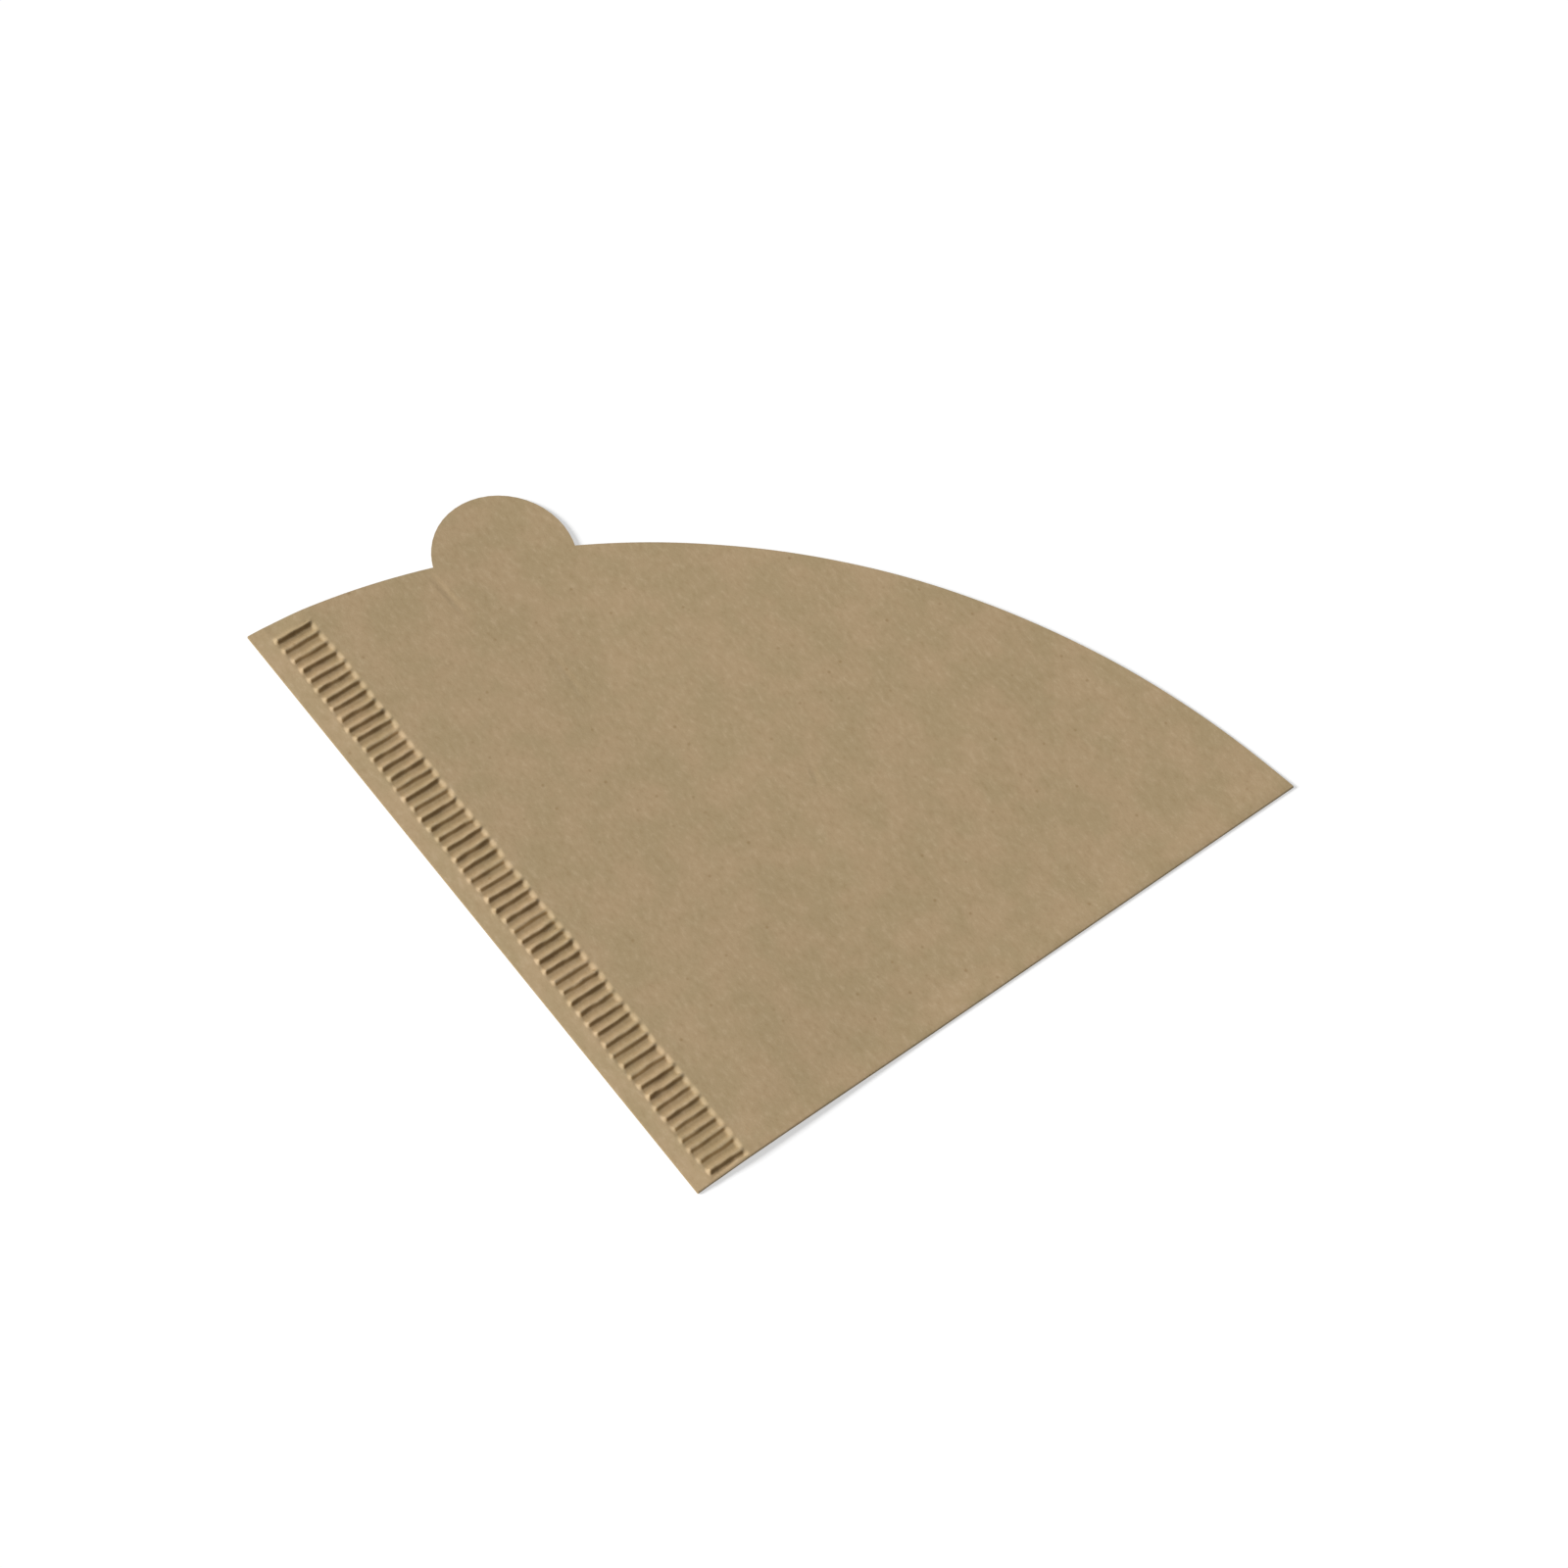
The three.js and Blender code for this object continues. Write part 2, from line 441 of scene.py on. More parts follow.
@dataclass
class FoldedSheet:
    """The folded, crimped and cut sheet, and how finely its mesh is divided.

    The column cells divide the seam, from the cut edge inwards: the margin, the outer ends of the teeth,
    their middles, their inner ends and the strip beside them.
    """

    outline: SheetOutline = field(default_factory=SheetOutline)
    teeth: CrimpedTeeth = field(default_factory=CrimpedTeeth)
    lie: PaperLie = field(default_factory=PaperLie)
    column_cells: tuple[int, ...] = (4, 8, 6, 8, 3)
    rise_cells: int = 5             # rows of faces on the steep side of a tooth
    rows_per_cell: int = 10         # rows of faces to each pitch, and to each cell beside the seam
    band_beyond: float = 2.6        # width of the strip beside the teeth, in mm
    fold_facets: int = 8            # facets of the fold's half round
    rays: int = 84                  # cells along the mouth, as if it had no tab
    tab_rays: int = 26              # cells along the tab
    tab_rows: int = 9               # cells from the mouth's arc to the tab's rim
    weld_distance: float = 0.0002   # within which points are one, in mm
    sharp_degrees: float = 55.0     # bend past which an edge looks sharp

    def fold_v(self) -> float:
        """V where the round of the fold meets the flat plies: the fold's outer radius."""
        return self.lie.thickness + self.lie.fold_gap / 2

    def band_end(self) -> float:
        """U up to which the sheet has the seam's fine rows."""
        return self.teeth.width() + self.band_beyond

    # Heights

    def underside(self, u: Array, v: Array) -> Array:
        """Height of the lowest face: up from the cut edge, over the teeth and down to the table.

        Args:
            u: Place along the fold in mm.
            v: Place along the cut edge in mm.

        Returns:
            Heights above the table in mm.
        """
        teeth, lie = self.teeth, self.lie
        margin = lie.margin_rise * np.clip(u / teeth.margin, 0.0, 1.0)
        settled = smooth_step(u, teeth.width(), teeth.width() + lie.seam_settle)
        return (margin + teeth.relief(u, v, self.outline.cut_edge)) * (1.0 - settled)

    def gap(self, u: Array, v: Array) -> Array:
        """Space between the plies.

        The upper ply is part of a shallow cone with its tip at the inner end of the seam: the space
        grows in proportion to the distance from the tip, times the square of the sine of twice the angle
        from the fold. In the seam the plies are pressed together, and outside the teeth they part a little.

        Args:
            u: Place along the fold in mm.
            v: Place along the cut edge in mm.

        Returns:
            Distances in mm.
        """
        lie, width = self.lie, self.teeth.width()
        from_tip = np.hypot(u - width, v)
        angle = np.arctan2(v, np.maximum(u - width, TINY))
        tip_to_mouth = min(self.outline.fold_edge - width, self.outline.cut_edge)
        opened = lie.mouth_gape * from_tip / tip_to_mouth * np.sin(2.0 * angle) ** 2
        beside_seam = lie.pressed_gap + opened * smooth_step(u, width, width + lie.pocket_start)
        in_margin = lie.margin_gap * (1.0 - smooth_step(u, 0.0, self.teeth.margin))
        flat = np.where(u < width, lie.pressed_gap + in_margin, beside_seam)
        near_fold = 1.0 - smooth_step(v, self.fold_v(), self.fold_v() + lie.fold_spring)
        return flat + (lie.fold_gap - flat) * near_fold

    def waves(self, u: Array, v: Array) -> Array:
        """Slight waves and cockles of the upper ply, which fade out where the fold and the seam hold it.

        Args:
            u: Place along the fold in mm.
            v: Place along the cut edge in mm.

        Returns:
            How far the ply is raised or lowered in mm.
        """
        lie, width = self.lie, self.teeth.width()
        free = smooth_step(v, 0.0, lie.held_width) * smooth_step(u, width, width + lie.held_width)
        waves = lie.wave_height * ripples(u, v, lie.wave_length, lie.seed)
        cockles = lie.cockle_height * ripples(u, v, lie.cockle_length, lie.seed + 1)
        return free * (waves + cockles)

    def height(self, face: Face, u: Array, v: Array) -> Array:
        """Height of one of the sheet's four faces above the table.

        Args:
            face: Which face.
            u: Place along the fold in mm.
            v: Place along the cut edge in mm.

        Returns:
            Heights in mm.
        """
        underside = self.underside(u, v)
        if face is Face.UNDERSIDE:
            return underside
        if face is Face.LOWER_INSIDE:
            return underside + self.lie.thickness
        opened = np.maximum(self.gap(u, v) + self.waves(u, v), self.lie.pressed_gap)
        inside = underside + self.lie.thickness + opened
        return inside if face is Face.UPPER_INSIDE else inside + self.lie.thickness

    # Plan

    def band_plan(self) -> Array:
        """The seam's grid in U and V.

        Its columns stand close at the ends of the teeth and its rows on their steep sides. Between the
        last tooth and the mouth the rows spread to meet the arc.

        Returns:
            The points, (columns, rows, 2).
        """
        teeth = self.teeth
        outer = teeth.margin - teeth.end_wander
        inner = teeth.width() + teeth.end_wander
        outer_top = outer + teeth.outer_end + 2 * teeth.end_wander
        inner_foot = inner - teeth.inner_end - 2 * teeth.end_wander
        stops = (0.0, outer, outer_top, inner_foot, inner, self.band_end())
        parts = zip(stops, stops[1:], self.column_cells)
        columns = [np.linspace(low, high, cells, endpoint=False) for low, high, cells in parts]
        columns = np.concatenate([*columns, stops[-1:]])
        rising = np.linspace(0.0, teeth.rise, self.rise_cells + 1)
        foot = teeth.foot()
        falling = np.linspace(teeth.rise + teeth.crest, foot, self.rows_per_cell - self.rise_cells - 2)
        shares = np.concatenate([rising, falling, [(foot + 1.0) / 2]])
        first = teeth.start() + teeth.pitch * teeth.rise_at
        starts = first + teeth.pitch * np.arange(teeth.count(self.outline.cut_edge))
        last = starts[-1] + teeth.pitch
        before = np.linspace(self.fold_v(), first, self.rows_per_cell + 1)[:-1]
        fine = np.concatenate([before, (starts[:, None] + teeth.pitch * shares).ravel(), [last]])
        share = np.arange(1, self.rows_per_cell + 1) / self.rows_per_cell
        mouth = self.outline.mouth_v(columns)
        beyond = last + share * (mouth[:, None] - last)
        rows = np.concatenate([np.broadcast_to(fine, (len(columns), len(fine))), beyond], 1)
        return np.stack([np.broadcast_to(columns[:, None], rows.shape), rows], -1)

    def mouth_points(self) -> Array:
        """Points along the arc from the seam's grid to the fold.

        They are evenly spaced, but across the tab their angle goes with a cosine, which sets them close
        together at its ends.

        Returns:
            The points in U and V, (points, 2).
        """
        outline = self.outline
        start = outline.mouth_angle(self.band_end(), float(outline.mouth_v(np.array(self.band_end()))))
        centre = outline.arc_centre()
        end = math.asin((self.fold_v() - centre[1]) / outline.arc_radius)
        low, high = outline.tab_ends()
        per_radian = self.rays / (start - end)
        before = np.linspace(start, high, max(3, round((start - high) * per_radian)))
        across = (high + low) / 2 + (high - low) / 2 * np.cos(np.linspace(0.0, math.pi, self.tab_rays + 1))
        after = np.linspace(low, end, max(3, round((low - end) * per_radian)))
        angle = np.concatenate([before[:-1], across[:-1], after])
        return centre + outline.arc_radius * np.stack([np.cos(angle), np.sin(angle)], -1)

    def tab_slice(self) -> slice:
        """Which of the mouth's points lie between the tab's ends.

        Returns:
            Their numbers, both ends included.
        """
        outline = self.outline
        points = self.mouth_points() - outline.arc_centre()
        angle = np.arctan2(points[:, 1], points[:, 0])
        low, high = outline.tab_ends()
        inside = np.flatnonzero((angle > low - TINY) & (angle < high + TINY))
        return slice(int(inside[0]), int(inside[-1]) + 1)

    def fan_plan(self, band: Array) -> Array:
        """The rest of a ply in U and V: rays from the folded end of the seam's grid to the mouth.

        Along each ray the points lie at the same shares of the way as every so many rows of the grid.

        Args:
            band: The seam's grid.

        Returns:
            The points, (rays, rows, 2).
        """
        tip = band[-1, 0]
        seam_side = band[-1, :: self.rows_per_cell]
        share = (seam_side[:, 1] - tip[1]) / (seam_side[-1, 1] - tip[1])
        points = self.mouth_points()
        return tip + share[None, :, None] * (points - tip)[:, None, :]

    # Surfaces

    def raised(self, face: Face, plan: Array) -> Array:
        """Points of the plan at the height of a face, (..., 3)."""
        return np.concatenate([plan, self.height(face, plan[..., 0], plan[..., 1])[..., None]], -1)

    def face_patches(self, face: Face, band: Array, fan: Array) -> list[Patch]:
        """One face of one ply: the seam's grid, the fan and the strip that joins their rows.

        Args:
            face: Which face.
            band: The seam's grid in U and V.
            fan: The rays in U and V.

        Returns:
            The face's patches, with the tab's on the upper ply.
        """
        step = self.rows_per_cell
        cells = fan.shape[1] - 1
        fine = np.arange(cells)[:, None] * step + np.arange(step, -1, -1)
        near, far = fan[1, :-1, None], fan[1, 1:, None]
        strip = np.concatenate([near, far, band[-1][fine]], 1)
        patches = [
            Patch(self.raised(face, band)),
            Polygons(self.raised(face, strip)),
            Patch(self.raised(face, fan[1:])),
        ]
        if face in (Face.TOP, Face.UPPER_INSIDE):
            patches.append(Patch(self.raised(face, self.tab_plan(band, fan))))
        return patches

    def tab_plan(self, band: Array, fan: Array) -> Array:
        """The tab in U and V: from the arc out to the tab's circle, along the fan's rays.

        Args:
            band: The seam's grid in U and V.
            fan: The rays in U and V.

        Returns:
            The points, (rays, rows, 2).
        """
        base = fan[self.tab_slice(), -1]
        rim = self.outline.tab_rim(band[-1, 0], base)
        rim[[0, -1]] = base[[0, -1]]
        share = np.linspace(0.0, 1.0, self.tab_rows + 1)[None, :, None]
        return base[:, None] + share * (rim - base)[:, None]

    def edge_line(self, band: Array, fan: Array, with_tab: bool) -> Array:
        """The cut outline of a ply, from the fold along the seam and the mouth to the fold's far end.

        Args:
            band: The seam's grid in U and V.
            fan: The rays in U and V.
            with_tab: Whether the ply has the tab.

        Returns:
            The points in U and V, (points, 2).
        """
        mouth = fan[1:, -1].copy()
        if with_tab:
            tab = self.tab_slice()
            mouth[tab.start - 1 : tab.stop - 1] = self.tab_plan(band, fan)[:, -1]
        return np.concatenate([band[0], band[1:, -1], mouth])

    def fold_patches(self, band: Array, fan: Array) -> list[Patch]:
        """The round of the fold: half circles from the upper to the lower ply, outside and inside.

        Each point of the fold's line gives a half circle whose middle is half-way between the plies and
        whose radius is half the distance between them.

        Args:
            band: The seam's grid in U and V.
            fan: The rays in U and V.

        Returns:
            The outer round, the inner one and the two cut ends between them.
        """
        line = np.concatenate([band[:-1, 0], fan[-1]])
        turn = np.linspace(0.0, math.pi, self.fold_facets + 1)
        rounds = []
        for high, low in ((Face.TOP, Face.UNDERSIDE), (Face.UPPER_INSIDE, Face.LOWER_INSIDE)):
            above, below = self.raised(high, line), self.raised(low, line)
            middle = (above + below) / 2
            radius = (above[:, 2] - below[:, 2]) / 2
            v = middle[:, 1, None] - radius[:, None] * np.sin(turn)
            z = middle[:, 2, None] + radius[:, None] * np.cos(turn)
            rounds.append(np.stack([np.broadcast_to(middle[:, 0, None], v.shape), v, z], -1))
        outside, inside = rounds
        ends = [Patch(np.stack([outside[i], inside[i]]), Finish.CUT_EDGE) for i in (0, -1)]
        return [Patch(outside), Patch(inside), *ends]

    def patches(self) -> list[Patch]:
        """Every stretch of the sheet's surface.

        Returns:
            The fold, the four faces and the cut edges of both plies.
        """
        band = self.band_plan()
        fan = self.fan_plan(band)
        made = self.fold_patches(band, fan)
        for face in Face:
            made += self.face_patches(face, band, fan)
        for inner, outer in ((Face.UPPER_INSIDE, Face.TOP), (Face.UNDERSIDE, Face.LOWER_INSIDE)):
            line = self.edge_line(band, fan, with_tab=outer is Face.TOP)
            rim = np.stack([self.raised(inner, line), self.raised(outer, line)])
            made.append(Patch(rim, Finish.CUT_EDGE))
        return made

    def to_frame(self, points: Array) -> Array:
        """Turns points from U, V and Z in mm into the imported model's frame in metres.

        The sheet's axes are turned by an eighth of a circle. The corner of the fold and the cut edge is
        the lowest in Y, and the seam's end of the mouth is the lowest in X.

        Args:
            points: Points in the sheet's axes, (n, 3).

        Returns:
            The same points in the frame, (n, 3).
        """
        low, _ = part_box(CAD_NODE)
        u, v, z = points[:, 0], points[:, 1], points[:, 2]
        x = (u - v) * SIN_45 + self.outline.cut_edge * SIN_45
        y = (u + v) * SIN_45
        return np.stack([x * MM + low.x, y * MM + low.y, z * MM], -1)

    def from_frame(self, points: Array) -> tuple[Array, Array]:
        """Turns points from the frame back into the sheet's own axes.

        Args:
            points: Points in the frame in metres, (n, 3).

        Returns:
            Their U and their V in mm.
        """
        low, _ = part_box(CAD_NODE)
        x = (points[:, 0] - low.x) / MM - self.outline.cut_edge * SIN_45
        y = (points[:, 1] - low.y) / MM
        return (x + y) * SIN_45, (y - x) * SIN_45

    def build(self, name: str) -> bpy.types.Object:
        """Makes the sheet's closed mesh.

        Args:
            name: Name of the object.

        Returns:
            The object, at the origin and unturned.
        """
        corners, faces, finishes = [], [], []
        first = 0
        for patch in self.patches():
            made = patch.faces(first)
            corners.append(patch.corners())
            faces += made
            finishes += [patch.finish.value] * len(made)
            first += len(corners[-1])
        mesh = bpy.data.meshes.new(name)
        mesh.from_pydata(self.to_frame(np.concatenate(corners)).tolist(), [], faces)
        mesh.polygons.foreach_set("material_index", np.array(finishes, np.int32))
        work = bmesh.new()
        work.from_mesh(mesh)
        bmesh.ops.remove_doubles(work, verts=work.verts, dist=self.weld_distance * MM)
        bmesh.ops.recalc_face_normals(work, faces=work.faces)
        work.to_mesh(mesh)
        work.free()
        mesh.shade_smooth()
        mesh.set_sharp_from_angle(angle=math.radians(self.sharp_degrees))
        sheet = bpy.data.objects.new(name, mesh)
        bpy.context.scene.collection.objects.link(sheet)
        self.mark_pressed(mesh)
        return sheet

    def mark_pressed(self, mesh: bpy.types.Mesh) -> None:
        """Stores at each point, from 0 to 1, how dark the teeth make the paper: pressed paper, and painted
        shade on the steep sides and in the grooves.

        Args:
            mesh: The sheet's mesh.
        """
        points = np.empty(len(mesh.vertices) * 3)
        mesh.vertices.foreach_get("co", points)
        u, v = self.from_frame(points.reshape(-1, 3))
        # Painted shade: darkens the steep sides that face away from the light and the grooves, along with
        # the pressed paper.
        pressed = self.teeth.pressing_and_shade(u, v, self.outline.cut_edge)
        mesh.attributes.new("pressed", "FLOAT", "POINT").data.foreach_set("value", pressed)

    def dress(self, piece: bpy.types.Object) -> None:
        """Gives the sheet its finishes, in the order of their material indices.

        Args:
            piece: The sheet's object.
        """
        made = {Finish.FACE: FilterPaper().build(self), Finish.CUT_EDGE: CutPaperEdge().build()}
        for finish in Finish:
            piece.data.materials.append(made[finish])


def linear(hex_colour: str) -> tuple[float, float, float, float]:
    """Turns an sRGB colour into a linear one, by the sRGB curve.

    Args:
        hex_colour: A hash sign and six hex digits.

    Returns:
        Linear red, green and blue, and an alpha of 1.
    """
    value = np.array([int(hex_colour[i : i + 2], 16) for i in (1, 3, 5)]) / 255.0
    rgb = np.where(value <= 0.04045, value / 12.92, ((value + 0.055) / 1.055) ** 2.4)
    return (*rgb.tolist(), 1.0)


def add_node(tree: bpy.types.NodeTree, kind: str, settings: dict[str, Any] | None = None,
             inputs: Sockets | None = None) -> Node:
    """Adds a node with its settings and what goes into it.

    Args:
        tree: The node tree.
        kind: The node's type name.
        settings: Values of the node's own properties.
        inputs: For each socket, a plain value or the output socket to link.

    Returns:
        The node.
    """
    node = tree.nodes.new(kind)
    for name, value in (settings or {}).items():
        setattr(node, name, value)
    for key, value in (inputs or {}).items():
        if isinstance(value, bpy.types.NodeSocket):
            tree.links.new(value, node.inputs[key])
        else:
            node.inputs[key].default_value = value
    return node


@dataclass(frozen=True)
class HandlingCrease:
    """A faint bend that handling left in the paper: a shallow line between two points in U and V, in mm."""

    start: tuple[float, float]
    end: tuple[float, float]
    width: float = 1.1   # from its line to where it ends beside it
    depth: float = 0.07

    def height(self, tree: bpy.types.NodeTree, place: bpy.types.NodeSocket, sheet: FoldedSheet) -> Any:
        """Depth of the crease at each place: full on its line, fading to nothing beside it and at its ends.

        Args:
            tree: The node tree.
            place: The object's coordinates.
            sheet: The sheet, which knows where its U and V lie in the frame.

        Returns:
            The socket with the depth in metres.
        """
        ends = sheet.to_frame(np.array([(*self.start, 0.0), (*self.end, 0.0)]))
        along = ends[1] - ends[0]
        middle = ends.mean(0)
        turn = math.atan2(along[1], along[0])
        local = add_node(tree, "ShaderNodeMapping", {"vector_type": "TEXTURE"},
                         {"Vector": place, "Location": (middle[0], middle[1], 0.0),
                          "Rotation": (0.0, 0.0, turn)})
        parts = add_node(tree, "ShaderNodeSeparateXYZ", {}, {0: local.outputs[0]})
        depth: Any = self.depth * MM
        for axis, full, gone in (("X", 0.0, np.hypot(*along[:2]) / 2), ("Y", 0.0, self.width * MM)):
            off = add_node(tree, "ShaderNodeMath", {"operation": "ABSOLUTE"}, {0: parts.outputs[axis]})
            fade = add_node(tree, "ShaderNodeMapRange", {"interpolation_type": "SMOOTHSTEP"},
                            {"Value": off.outputs[0], "From Min": full, "From Max": float(gone),
                             "To Min": 1.0, "To Max": 0.0})
            depth = add_node(tree, "ShaderNodeMath", {"operation": "MULTIPLY"},
                             {0: fade.outputs[0], 1: depth}).outputs[0]
        return depth


@dataclass(frozen=True)
class FilterPaper:
    """Unbleached cellulose filter paper, wet-laid and uncoated.

    The fibres lie felted in all directions, so the face is matt, slightly cloudy and finely mottled, with
    single darker bark specks and paler loose fibres. Where the crimping presses it, it is denser and
    darker, and painted shade is added there on the steep sides of the teeth that face away from the light
    and in the grooves. Real fibres are about 0.03 mm across, too fine to show, and are drawn some ten times
    as coarse.
    Sizes in mm, and each mix as a share of the colour that is laid over the others.
    """

    name: str = "unbleached wet-laid filter paper"
    base: str = "#a7906f"
    cloud: str = "#a08c6a"
    mottle_dark: str = "#89714d"
    mottle_pale: str = "#c0ab8d"
    speck: str = "#866c48"
    # Warm dark brown for crushed paper and for painted shade on the teeth's shaded steep sides and grooves.
    pressed: str = "#80602f"
    cloud_size: float = 8.0       # where more or fewer fibres settled on the wire
    cloud_edge: float = 0.16      # half the noise's range over which one cloud gives way to the next
    mottle_size: float = 1.0      # tufts of fibres
    mottle_rest: float = 0.02     # noise to either side of its middle without a mottle
    mottle_full: float = 0.30     # noise to either side of its middle at which the mottle is full
    mottle_mix: float = 0.55
    grain_angle: float = 135.0    # degrees from the frame's X axis in which the tufts lie
    grain_stretch: float = 1.7    # how much longer than wide they are
    fibre_size: float = 0.35
    felt_depth: float = 0.022
    speck_spacing: float = 4.2
    speck_radius: float = 0.42
    speck_core: float = 0.17      # radius of the speck's full colour
    speck_mix: float = 0.5
    # Share of the pressed paper and painted shade colour where the teeth are darkest.
    pressed_mix: float = 0.7
    creases: tuple[HandlingCrease, ...] = (
        HandlingCrease((33.2, 119.0), (33.8, 103.5)),
        HandlingCrease((41.7, 96.0), (40.7, 78.0), depth=0.04),
        HandlingCrease((66.0, 52.0), (64.2, 46.0), depth=0.05),
    )
    roughness: float = 0.72
    specular: float = 0.32

    def colour(self, tree: bpy.types.NodeTree, place: bpy.types.NodeSocket) -> bpy.types.NodeSocket:
        """The colour of the paper's face: clouds, then mottle, then specks, then pressed paper with painted
        shade on the teeth.

        Args:
            tree: The node tree.
            place: The object's coordinates.

        Returns:
            The socket with the colour.
        """
        cloud = add_node(tree, "ShaderNodeTexNoise", {"noise_dimensions": "3D"},
                         {"Vector": place, "Scale": 1.0 / (self.cloud_size * MM), "Detail": 3.0})
        clouds = add_node(tree, "ShaderNodeMapRange", {"interpolation_type": "SMOOTHSTEP"},
                          {"Value": cloud.outputs[0], "From Min": 0.5 - self.cloud_edge,
                           "From Max": 0.5 + self.cloud_edge})
        clouded = add_node(tree, "ShaderNodeMix", {"data_type": "RGBA"},
                           {0: clouds.outputs[0], 6: linear(self.base), 7: linear(self.cloud)})
        turned = add_node(tree, "ShaderNodeMapping", {"vector_type": "TEXTURE"},
                          {"Vector": place, "Rotation": (0.0, 0.0, math.radians(self.grain_angle)),
                           "Scale": (self.grain_stretch, 1.0, 1.0)})
        mottle = add_node(tree, "ShaderNodeTexNoise", {},
                          {"Vector": turned.outputs[0], "Scale": 1.0 / (self.mottle_size * MM),
                           "Detail": 5.0, "Roughness": 0.75})
        dark = add_node(tree, "ShaderNodeMapRange", {},
                        {"Value": mottle.outputs[0], "From Min": 0.5 + self.mottle_rest,
                         "From Max": 0.5 + self.mottle_full, "To Max": self.mottle_mix})
        pale = add_node(tree, "ShaderNodeMapRange", {},
                        {"Value": mottle.outputs[0], "From Min": 0.5 - self.mottle_rest,
                         "From Max": 0.5 - self.mottle_full, "To Max": self.mottle_mix})
        darker = add_node(tree, "ShaderNodeMix", {"data_type": "RGBA"},
                          {0: dark.outputs[0], 6: clouded.outputs[2], 7: linear(self.mottle_dark)})
        paler = add_node(tree, "ShaderNodeMix", {"data_type": "RGBA"},
                         {0: pale.outputs[0], 6: darker.outputs[2], 7: linear(self.mottle_pale)})
        cells = add_node(tree, "ShaderNodeTexVoronoi", {"feature": "F1"},
                         {"Vector": place, "Scale": 1.0 / (self.speck_spacing * MM)})
        near = add_node(tree, "ShaderNodeMapRange", {},
                        {"Value": cells.outputs["Distance"], "To Max": self.speck_mix,
                         "From Min": self.speck_radius / self.speck_spacing,
                         "From Max": self.speck_core / self.speck_spacing})
        specked = add_node(tree, "ShaderNodeMix", {"data_type": "RGBA"},
                           {0: near.outputs[0], 6: paler.outputs[2], 7: linear(self.speck)})
        # Painted shade: the teeth's steep sides that face away from the light and their grooves are
        # darkened, together with the pressed paper.
        press = add_node(tree, "ShaderNodeAttribute", {"attribute_name": "pressed"})
        amount = add_node(tree, "ShaderNodeMath", {"operation": "MULTIPLY"},
                          {0: press.outputs["Fac"], 1: self.pressed_mix})
        final = add_node(tree, "ShaderNodeMix", {"data_type": "RGBA"},
                         {0: amount.outputs[0], 6: specked.outputs[2], 7: linear(self.pressed)})
        return final.outputs[2]

    def felt(self, tree: bpy.types.NodeTree, place: bpy.types.NodeSocket,
             sheet: FoldedSheet) -> bpy.types.NodeSocket:
        """The fine relief of felted fibres less the depth of the faint creases.

        Args:
            tree: The node tree.
            place: The object's coordinates.
            sheet: The sheet, which knows where its U and V lie in the frame.

        Returns:
            The socket with the bent normal.
        """
        fibres = add_node(tree, "ShaderNodeTexNoise", {},
                          {"Vector": place, "Scale": 1.0 / (self.fibre_size * MM), "Detail": 3.0,
                           "Roughness": 0.6, "Distortion": 0.8})
        height = add_node(tree, "ShaderNodeMath", {"operation": "MULTIPLY"},
                          {0: fibres.outputs[0], 1: self.felt_depth * MM}).outputs[0]
        for crease in self.creases:
            height = add_node(tree, "ShaderNodeMath", {"operation": "SUBTRACT"},
                              {0: height, 1: crease.height(tree, place, sheet)}).outputs[0]
        return add_node(tree, "ShaderNodeBump", {}, {"Height": height, "Distance": 1.0}).outputs[0]

    def build(self, sheet: FoldedSheet) -> bpy.types.Material:
        """Makes the paper's material.

        Args:
            sheet: The sheet, on which the creases lie.

        Returns:
            The material.
        """
        material = bpy.data.materials.new(self.name)
        material.use_nodes = True
        tree = material.node_tree
        shader = tree.nodes["Principled BSDF"]
        place = add_node(tree, "ShaderNodeTexCoord").outputs["Object"]
        shader.inputs["Roughness"].default_value = self.roughness
        shader.inputs["Specular IOR Level"].default_value = self.specular
        tree.links.new(self.colour(tree, place), shader.inputs["Base Color"])
        tree.links.new(self.felt(tree, place, sheet), shader.inputs["Normal"])
        return material


@dataclass(frozen=True)
class CutPaperEdge:
    """The die-cut edge of the same paper.

    The knife crushes and opens the fibres, so the edge is a little ragged and uneven in colour, and fully
    matt. Sizes in mm.
    """

    name: str = "die-cut filter paper edge"
    pale: str = "#a08c6c"
    dark: str = "#86724f"
    fibre_size: float = 0.3
    roughness: float = 0.97
    specular: float = 0.1

    def build(self) -> bpy.types.Material:
        """Makes the edge's material.

        Returns:
            The material.
        """
        material = bpy.data.materials.new(self.name)
        material.use_nodes = True
        tree = material.node_tree
        shader = tree.nodes["Principled BSDF"]
        place = add_node(tree, "ShaderNodeTexCoord").outputs["Object"]
        fibres = add_node(tree, "ShaderNodeTexNoise", {},
                          {"Vector": place, "Scale": 1.0 / (self.fibre_size * MM), "Detail": 3.0})
        colour = add_node(tree, "ShaderNodeMix", {"data_type": "RGBA"},
                          {0: fibres.outputs[0], 6: linear(self.dark), 7: linear(self.pale)})
        tree.links.new(colour.outputs[2], shader.inputs["Base Color"])
        shader.inputs["Roughness"].default_value = self.roughness
        shader.inputs["Specular IOR Level"].default_value = self.specular
        return material


